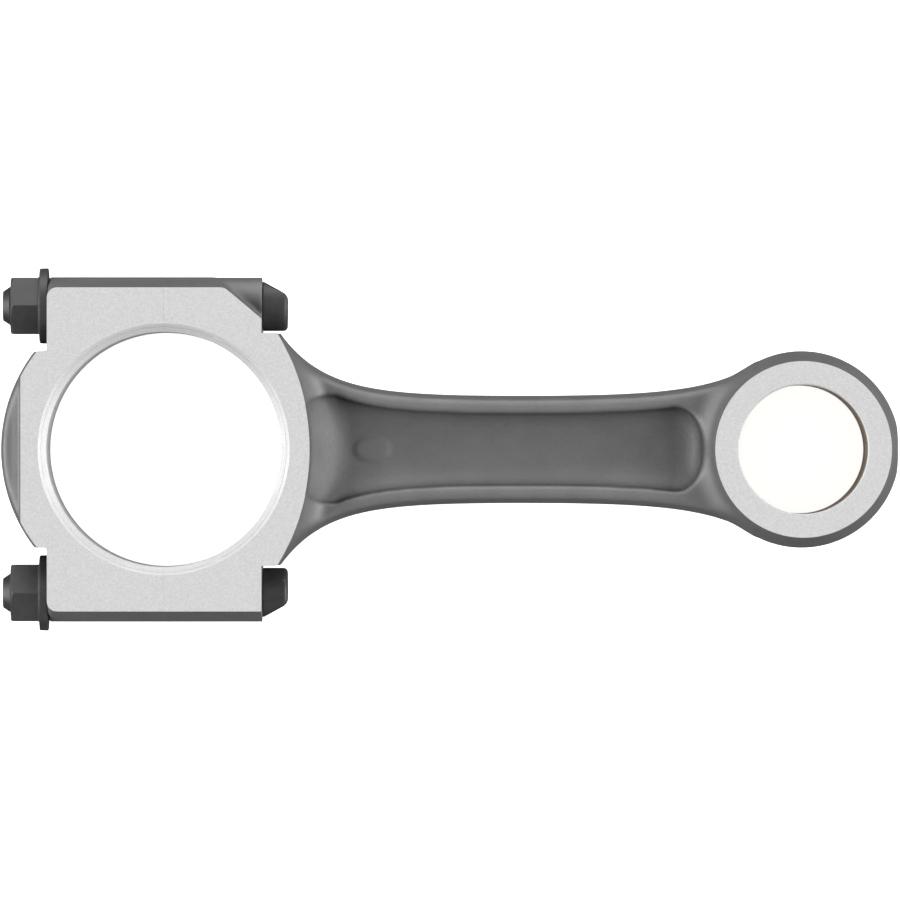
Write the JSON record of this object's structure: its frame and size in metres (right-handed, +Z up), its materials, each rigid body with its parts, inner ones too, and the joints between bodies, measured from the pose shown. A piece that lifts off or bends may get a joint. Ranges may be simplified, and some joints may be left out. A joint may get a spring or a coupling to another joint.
{
  "type": "connecting rod",
  "caption": "Forged engine connecting rod with an I-section beam, a bolted split big end lined with bearing shells, and a plain bushed small end.",
  "frame": {"origin": "centre of the bounding box at its bottom, in the plane of the lower machined faces", "axes": "+X runs along the rod from the big end to the small end, +Y from bolt to bolt, +Z up along both bores"},
  "size_m": [0.2708, 0.1094, 0.038],
  "materials": {
    "forged_steel": "dark shot-blasted forging with ground and bored faces left bright",
    "bearing_lining": "smooth tin-grey lining on a steel back",
    "bush_bronze": "bored satin bronze",
    "black_oxide_bolt": "black oxide, satin",
    "black_oxide_nut": "black oxide, satin"
  },
  "bodies": {
    "root": {"rod_body": "forged_steel", "bearing_cap": "forged_steel", "upper_shell": "bearing_lining", "lower_shell": "bearing_lining", "small_end_bush": "bush_bronze", "left_bolt": "black_oxide_bolt", "right_bolt": "black_oxide_bolt", "left_nut": "black_oxide_nut", "right_nut": "black_oxide_nut"}
  },
  "joints": []
}
